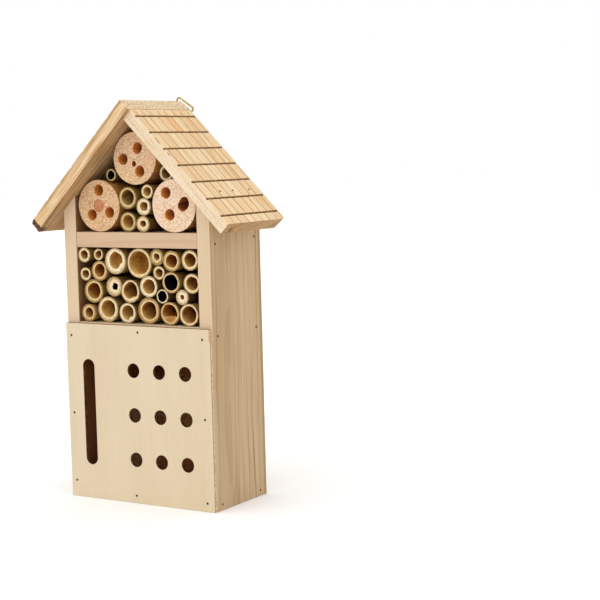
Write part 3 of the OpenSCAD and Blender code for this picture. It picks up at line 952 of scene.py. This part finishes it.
# Each tube: bore, sideways and upward shift of the bore, rim, skin, bore tone, depth of the node,
# raggedness of the opening, and sometimes a fill or an (angle, reach, width) splinter. Lengths in mm,
# reach as a share of the bore, angle in degrees, width in radians.
TUBES = [
    (7.4, 0.3, 0.0, "tan", "straw", "brown", 40, 0.05),
    (12.8, 0.2, 0.5, "cream", "straw", "tan", 34, 0.03),
    (10.8, 0.2, 0.3, "pale", "olive", "tan", 22, 0.05, (-62, 0.48, 0.30)),
    (13.0, 0.4, 0.0, "tan", "olive", "brown", 46, 0.04),
    (13.0, -0.2, 0.2, "tan", "brown", "orange", 30, 0.05, "fill"),
    (12.6, 0.2, 0.2, "cream", "straw", "brown", 38, 0.03),
    (12.0, 0.2, 0.1, "olive", "olive", "orange", 44, 0.04),
    (12.8, 0.3, 0.4, "cream", "olive", "brown", 26, 0.05, (-75, 0.30, 0.5)),
    (5.2, 0.8, 0.2, "cream", "straw", "black", 36, 0.22, (150, 0.45, 0.5)),
    (8.0, 0.0, 0.0, "pale", "brown", "black", 50, 0.04),
    (10.8, 0.3, 0.0, "pale", "brown", "tan", 32, 0.04),
    (3.4, 0.0, 0.1, "pale", "brown", "brown", 42, 0.10),
    (11.8, 0.0, 0.1, "tan", "olive", "black", 52, 0.05),
    (10.0, 0.3, 0.1, "cream", "straw", "brown", 28, 0.05),
    (9.8, 0.2, 0.3, "tan", "olive", "orange", 40, 0.05),
    (6.2, 0.1, 0.0, "cream", "brown", "brown", 36, 0.09),
    (6.4, 0.2, -0.1, "cream", "straw", "brown", 44, 0.06),
    (12.4, 0.6, 0.5, "pale", "straw", "tan", 9, 0.07, (-42, 0.45, 0.45)),
    (18.0, -0.3, 0.0, "cream", "straw", "tan", 15, 0.02, (-88, 0.12, 0.7)),
    (5.0, -0.2, 0.3, "olive", "olive", "brown", 38, 0.16),
    (9.8, 0.1, 0.0, "tan", "olive", "orange", 34, 0.04),
    (9.8, 0.2, 0.1, "cream", "straw", "orange", 30, 0.05),
    (6.6, 0.1, 0.2, "cream", "olive", "brown", 32, 0.07),
    (5.6, 0.1, 0.1, "cream", "olive", "brown", 40, 0.12),
    (9.8, 0.0, 0.2, "olive", "olive", "tan", 30, 0.04),
    (5.0, 0.1, 0.2, "cream", "brown", "orange", 42, 0.08),
    (11.4, 0.1, 0.3, "olive", "olive", "olive", 46, 0.04),
    (7.0, 0.2, 0.2, "pale", "olive", "tan", 34, 0.10, (-95, 0.30, 0.25)),
    (6.8, 0.1, 0.1, "cream", "olive", "tan", 38, 0.05),
    (8.0, 0.1, 0.1, "pale", "olive", "olive", 28, 0.04),
    (6.4, 0.0, 0.0, "olive", "brown", "black", 44, 0.06),
]
RIM, SKIN, BORE = 0, 1, 2
NODE_T = 0.6 * MM  # how far the wall at the node bulges
BORE_ROWS = (1.0, 0.93, 0.85, 0.7, 0.5, 0.32, 0.2, 0.12, 0.07, 0.035, 0.015)
LIP = 0.15 * MM
RIM_ROUNDING = 0.08 * MM
SKIN_DROP = 0.36 * MM  # the skin behind the rim is this far inside the CAD tube


def bore_outline(y, bore_r, shape, special):
    """The bore's radius in each direction at a depth, with its splinter or fill."""
    angles = around(len(shape))
    r = bore_r * (1 + shape * (0.35 + 0.65 * exp(-y / (7 * MM))))
    if special == "fill":
        if y > 1.2 * MM:
            for k, a in enumerate(angles):
                if sin(a) < -0.05:
                    lump = 1 + 0.06 * sin(9 * a + 300 * y)
                    r[k] = min(r[k], 0.4 * bore_r * lump / -sin(a))
    elif special:
        angle, reach, width = special
        grow = min(1.0, y / (1.5 * MM)) * exp(-((y - 3 * MM) / (5 * MM)) ** 2)
        grow = max(grow, 0.6 * exp(-y / (1 * MM)))
        gap = (angles - radians(angle) + pi) % (2 * pi) - pi
        r = r * (1 - reach * grow * np.exp(-(gap / width) ** 2))
    return r


def cane(number, materials, bore, dx, dz, rim, skin, inner, depth, ragged, special=None):
    """One cane: rind, sawn end, bore and the wall at its node, as one closed skin."""
    node = f"bamboo_tube_{number:02d}"
    lo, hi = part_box(node)
    radius = (hi.x - lo.x) / 2
    length = hi.y - lo.y
    rng = np.random.default_rng(100 + number)
    count = 72
    angles = around(count)
    outer_shape = ring_shape(rng, 0.009, count)
    outer = radius * (1 + outer_shape - outer_shape.max())
    bore_shape = ring_shape(rng, ragged * 0.8, count)
    saw = ring_shape(rng, 0.12 * MM, count)
    collar = rng.uniform(0.25, 0.6) * length
    shift = np.array([dx, dz]) * MM
    axis = np.zeros(2)
    level = np.zeros(count)
    rows, walls = [], []

    def add_row(r, y, centre, zone, wall):
        rows.append(([(centre[0] + r[k] * cos(angles[k]), max(y[k], 0.0),
                       centre[1] + r[k] * sin(angles[k])) for k in range(count)], zone))
        walls.extend([wall] * count)

    def add_pole(y, centre, zone, wall):
        rows.append(([(centre[0], y, centre[1])], zone))
        walls.append(wall)

    def opening(y):
        return bore_outline(y, bore / 2 * MM, bore_shape, special)

    membrane = min(depth * MM, length - 3 * MM)
    add_pole(membrane + NODE_T, shift, BORE, 0.0)
    add_row(opening(membrane) * 0.6, level + membrane + 0.35 * MM, shift, BORE, 0.0)
    for f in BORE_ROWS:
        add_row(opening(membrane * f), level + membrane * f, shift, BORE, 0.0)
    lip = opening(0.0)
    add_row(lip, saw + 0.45 * MM, shift, BORE, 0.0)
    add_row(lip + LIP, saw + 0.16 * MM, shift, RIM, 0.03)
    for f in (0.15, 0.35, 0.55, 0.75, 0.9):
        r = lip + LIP + (outer - 0.1 * MM - lip - LIP) * f
        dip = saw + 0.10 * MM * (1 + sin(6 * f + number)) * 0.5 + ring_shape(rng, 0.05 * MM, count)
        add_row(r, dip + 0.12 * MM, shift * (1 - f), RIM, f)
    add_row(outer - RIM_ROUNDING, saw + 0.14 * MM, axis, RIM, 1.0)
    add_row(outer, np.maximum(saw, 0) + 0.4 * MM, axis, SKIN, 1.0)
    for f in np.linspace(0.03, 0.97, 16):
        y = f * length
        bulge = exp(-((y - collar) / (1.2 * MM)) ** 2) * 0.35 * MM
        dent = 0.1 * MM * abs(wave((number, f * 2, 0), 1.0, number))
        add_row(outer - SKIN_DROP + bulge - dent, level + y, axis, SKIN, 1.0)
    far = length - 0.02 * MM
    add_row(outer - 0.4 * MM, level + far, axis, RIM, 1.0)
    add_pole(far, axis, RIM, 0.5)

    points, faces, zones = revolve(rows, count)
    piece = make_mesh(f"cane_{number:02d}", points, faces, 55.0)
    piece.location = ((hi.x + lo.x) / 2, lo.y, (hi.z + lo.z) / 2)
    add_attribute(piece, "wall", "POINT", walls)
    dress(piece, [materials[RIM][rim], materials[SKIN][skin], materials[BORE][inner]], node)
    piece.data.polygons.foreach_set("material_index", zones)


# ---- logs

# kind of hole: depth, raggedness and material
HOLES = {
    "clean": (48 * MM, 0.02, "drilled_hole"),
    "torn": (48 * MM, 0.11, "torn_shaded_hole"),
    "pith": (0.75 * MM, 0.03, "pith"),
    "heart": (9 * MM, 0.03, "torn_shaded_hole"),
}
# seed, paleness of the end, and the holes: distance from the middle in mm and angle in degrees, and
# where it isn't the usual one, radius in mm and kind
LOGS = {
    "log_left": (41, 0.15, [(11.6, 88), (9.4, 226), (11.1, 333), (0, 0, 4.75, "pith")]),
    "log_right": (42, 1.0, [(11.5, 126), (7.6, 240), (8.8, 7, 5.0, "torn")]),
    "log_top": (43, 0.35, [(8, 68), (10.6, 183), (10.6, 295), (4.1, 261, 1.95, "heart")]),
}
# the torn hole tone is darker than the drilled one, as painted shade for the ragged hole and the small heart
# hole
HOLE_LOOKS = {
    "drilled_hole": ((246, 172, 92), (186, 112, 48)),
    "torn_shaded_hole": ((214, 124, 68), (112, 52, 20)),
    "pith": ((214, 150, 108), (164, 104, 68)),
}


def log_end_material(name, pale):
    """Sawn end of a log. pale is 0 for a warm, darker end and 1 for a pale one."""
    s = Shader(name)
    p = s.coords()
    fine = s.noise(p, 900.0, 3.0, 0.75)
    coarse = s.noise(p, 320.0)
    amount = fine * 0.95 + coarse * 0.15
    dark = s.ramp(amount, (0.40, (234, 202, 160)), (0.53, (214, 174, 128)),
                  (0.62, (184, 136, 90)), (0.71, (146, 98, 56)))
    light = s.ramp(amount, (0.40, (244, 226, 204)), (0.57, (230, 202, 174)),
                   (0.66, (200, 158, 122)), (0.75, (160, 112, 76)))
    warm = s.ramp(s.noise(p, 85.0), (0.4, 0.0), (0.7, 0.45))
    colour = s.mix(warm, s.mix(pale, dark, light), (222, 178, 128))
    return s.finish(colour, 0.75, fine + coarse, 0.0005, 0.7)


def bark_material():
    s = Shader("log_bark")
    p = s.coords()
    streak = s.noise(s.stretch(p, (1, 0.08, 1)), 420.0, 4.0, 0.6)
    patch = s.noise(s.stretch(p, (1, 0.35, 1)), 120.0, 3.0)
    colour = s.ramp(streak * 0.6 + patch * 0.6,
                    (0.35, (220, 164, 92)), (0.6, (176, 118, 58)), (0.85, (112, 68, 30)))
    return s.finish(colour, 0.7, streak, 0.0005, 0.8)


def drilled_material(name, light, dark):
    """Wall of a drilled hole, with painted light on its floor."""
    s = Shader(name)
    p = s.coords()
    rings = s.noise(p, 900.0, 3.0, 0.7)
    streak = s.noise(s.stretch(p, (1, 0.1, 1)), 500.0)
    amount = rings * 0.6 + streak * 0.55 + 0.08
    # upward-facing hole walls lighter: painted light
    amount = amount - s.facing(UP, -0.4, 0.8) * 0.22
    colour = s.ramp(amount, (0.38, light), (0.78, dark))
    return s.finish(colour, 0.85, rings, 0.0005, 0.8, specular=0.04)


def drill(piece, seed, materials, away, angle, r=4.3, kind="clean"):
    """Drills a log with a closed rod along y whose skin is frayed most at the log's face."""
    depth, rough, look = HOLES[kind]
    rng = np.random.default_rng(seed)
    count = 56
    start = -1 * MM
    angles = around(count)
    shape = ring_shape(rng, rough, count)
    fray = rng.normal(0, rough * 0.25, count)
    rows = [([(0, start, 0)], 0)]
    for y in np.linspace(start, depth, 10):
        rr = r * MM * (1 + shape + fray * exp(-abs(y) / (1.5 * MM)))
        rows.append(([(rr[k] * cos(a), y, rr[k] * sin(a)) for k, a in enumerate(angles)], 0))
    rows.append(([(0, depth, 0)], 0))
    points, faces, _ = revolve(rows, count)
    rod = make_mesh("drill", points, flipped(faces))
    rod.data.materials.append(materials[look])
    rod.location = (away * MM * cos(radians(angle)), 0, away * MM * sin(radians(angle)))
    cut(piece, rod, 45.0)
    bpy.data.objects.remove(rod)


def log_rows(radius, length, seed, count):
    """Rows of the sawn end, zone 0, and of the bark, zone 1."""
    angles = around(count)
    outline = ring_shape(np.random.default_rng(seed), 0.010, count)
    outline = radius * (1 + outline - outline.max())
    sawn = 0.25 * MM
    rows = [([(0, sawn, 0)], 0)]
    for f in (*np.linspace(0.06, 0.93, 17), 0.97, 0.985):
        row = []
        for r, a in zip(outline * f, angles):
            x, z = r * cos(a), r * sin(a)
            y = sawn + 0.12 * MM * wave((x, z, seed), 900.0) + 0.1 * MM * wave((x, z, seed), 260.0)
            row.append((x, max(y, 0.0), z))
        rows.append((row, 0))
    for y in (0.5 * MM, 1.2 * MM, *np.linspace(3 * MM, length, 16)):
        row = []
        for r, a in zip(outline, angles):
            around_log = (cos(a) * 0.02, y * 0.4, sin(a) * 0.02)
            if y > 0.6 * MM:
                r -= 0.22 * MM * (1 + wave(around_log, 300.0, seed))
            row.append((r * cos(a), y, r * sin(a)))
        rows.append((row, 1))
    rows.append(([(0, length, 0)], 1))
    return rows


def log(name, materials, seed, pale, holes):
    """A log with a rough sawn end, drilled holes and bark."""
    lo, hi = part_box(name)
    count = 120
    points, faces, zones = revolve(log_rows((hi.x - lo.x) / 2, hi.y - lo.y, seed, count), count)
    piece = make_mesh(name + "_wood", points, flipped(faces), 50.0)
    piece.data.materials.append(log_end_material(name + "_end_grain", pale))
    piece.data.materials.append(materials["log_bark"])
    piece.data.polygons.foreach_set("material_index", zones)
    for n, hole in enumerate(holes):
        drill(piece, seed * 10 + n, materials, *hole)
    piece.location = ((hi.x + lo.x) / 2, lo.y, (hi.z + lo.z) / 2)
    settle(piece, name)


# ---- metal


def metal(name, light, dark, rough, metallic, specular):
    s = Shader(name)
    patch = s.noise(s.coords(), 900.0, 3.0)
    s.bsdf.inputs["Metallic"].default_value = metallic
    colour = s.ramp(patch, (0.35, light), (0.7, dark))
    rough = patch * 0.25 + rough
    return s.finish(colour, rough, patch, 0.00005, 0.3, specular=specular)


# ---- build the house


def build_boards():
    nails = nail_cutter()
    pieces = []
    for name, lo, hi, pith, ring, drift, seed in (
            ("left_side", left_lo, left_hi, (-0.022, 0.01, 0.1), 0.003, 0.7, 2.0),
            ("right_side", side_lo, side_hi, (0.022, -0.016, 0.1), 0.0032, 0.8, 3.0)):
        wood = pine("pine_" + name, "z", pith, (200, 175, 139), (160, 126, 88), ring=ring, contrast=0.42,
                    streak=0.4, drift=drift, extra=side_tones)
        top = under_roof(side_hi.z - board_t + side_hi.x)
        pieces.append((board(name + "_wood", lo, hi, 6 * MM, 0.8 * MM, seed, top), wood, "pine", name))
    fine, warm = (222, 200, 166), (196, 162, 122)
    inner_boards = {
        "bottom_board": ("x", (0, 0.05, -0.06), fine, warm, chamber_light_and_shade),
        "lower_shelf": ("x", (0, 0.04, 0.05), fine, warm, chamber_light_and_shade),
        "upper_shelf": ("x", (0, -0.09, 0.16), (214, 186, 154), (188, 150, 116), chamber_light_and_shade),
        "chamber_divider": ("z", (0.03, 0.08, 0), fine, warm, divider_light_and_shade),
    }
    for n, (name, (grain, pith, light, dark, extra)) in enumerate(inner_boards.items()):
        wood = pine("pine_" + name, grain, pith, light, dark, speckle=0.15, extra=extra)
        piece = board(name + "_wood", *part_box(name), 7 * MM, 0.6 * MM, 10.0 + n)
        pieces.append((piece, wood, "pine", name))
    back = board("back_panel_sheet", back_lo, back_hi, 7 * MM, 0.35 * MM, 21.0,
                 under_roof(roof_under_z), middle=(0.0,))
    ply = pine("birch_ply_back", "z", (0.02, 0.3, 0.1), (228, 206, 166), (196, 160, 112), ring=0.011,
               wobble=6.0, extra=back_tones)
    pieces.append((back, ply, "plywood", "back_panel"))
    pieces.append((holed_panel(), panel_material(), "plywood", "front_panel"))
    for side, name in ((-1, "roof_board_left"), (1, "roof_board_right")):
        pieces.append((roof_board(name, side), roof_material("pine_" + name, side), "pine", name))
    for piece, material, slot, node in pieces:
        dress(piece, [material], node)
        if node != "chamber_divider":
            cut(piece, nails)
    bpy.data.objects.remove(nails)


def build_logs():
    materials = {name: drilled_material(name, *tones) for name, tones in HOLE_LOOKS.items()}
    materials["log_bark"] = bark_material()
    for name, spec in LOGS.items():
        log(name, materials, *spec)


def build_canes():
    materials = ({tone: rim_material(tone) for tone in RIMS},
                 {tone: skin_material(tone) for tone in SKINS},
                 {tone: bore_material(tone) for tone in BORES})
    for number, spec in enumerate(TUBES, 1):
        cane(number, materials, *spec)


def build_metal():
    brass = metal("aged_brass", (206, 182, 112), (138, 116, 58), 0.28, metallic=0.9, specular=0.3)
    steel = metal("nail_steel", (84, 54, 30), (44, 26, 12), 0.7, metallic=0.1, specular=0.05)
    for name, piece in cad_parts.items():
        if name in ("hanger_ring", "hanger_strap"):
            material = brass
        elif name.endswith("_nails") or name == "hanger_nail":
            material = steel
        else:
            continue
        for slot in piece.material_slots:
            slot.material = material


# ---- stage, light and camera

FLOOR_REACH = 6.0
CAMERA_PLACE = (0.67463, -0.90522, 0.26220)
CAMERA_AZIMUTH, CAMERA_ELEVATION, CAMERA_ROLL = map(radians, (31.316, 5.818, -1.393))
CAMERA_LENS = 89.69


def build_stage():
    corners = [(-1, -1), (1, -1), (1, 1), (-1, 1)]
    floor = make_mesh("floor", [(x * FLOOR_REACH, y * FLOOR_REACH, 0) for x, y in corners], [(0, 1, 2, 3)])
    floor.data.materials.append(Shader("pale_floor").finish(0.94, 0.9))

    world = bpy.data.worlds.new("studio")
    bpy.context.scene.world = world
    world.use_nodes = True
    background = world.node_tree.nodes["Background"]
    background.inputs["Color"].default_value = (1, 1, 1, 1)
    background.inputs["Strength"].default_value = 1.0

    sun = bpy.data.lights.new("key", "SUN")
    sun.energy = 0.25 * pi
    sun.angle = radians(62)
    sun.color = (1.0, 0.99, 0.97)
    lamp = add_object("key", sun)
    lamp.rotation_euler = Vector((-0.08, -0.44, 0.9)).to_track_quat("Z", "Y").to_euler()


def build_camera():
    az, el, roll = CAMERA_AZIMUTH, CAMERA_ELEVATION, CAMERA_ROLL
    back = Vector((sin(az) * cos(el), -cos(az) * cos(el), sin(el)))
    right = (-back).cross(Vector(UP)).normalized()
    up = right.cross(-back)
    x = right * cos(roll) + up * sin(roll)
    y = up * cos(roll) - right * sin(roll)
    data = bpy.data.cameras.new("camera")
    data.sensor_width = 36.0
    data.lens = CAMERA_LENS
    data.clip_start = 0.01
    camera = add_object("camera", data)
    turn = Matrix((x, y, back)).transposed()
    camera.matrix_world = Matrix.Translation(CAMERA_PLACE) @ turn.to_4x4()
    bpy.context.scene.camera = camera
    bpy.context.scene.view_settings.view_transform = "Standard"


build_stage()
build_camera()
build_metal()
build_boards()
build_logs()
build_canes()
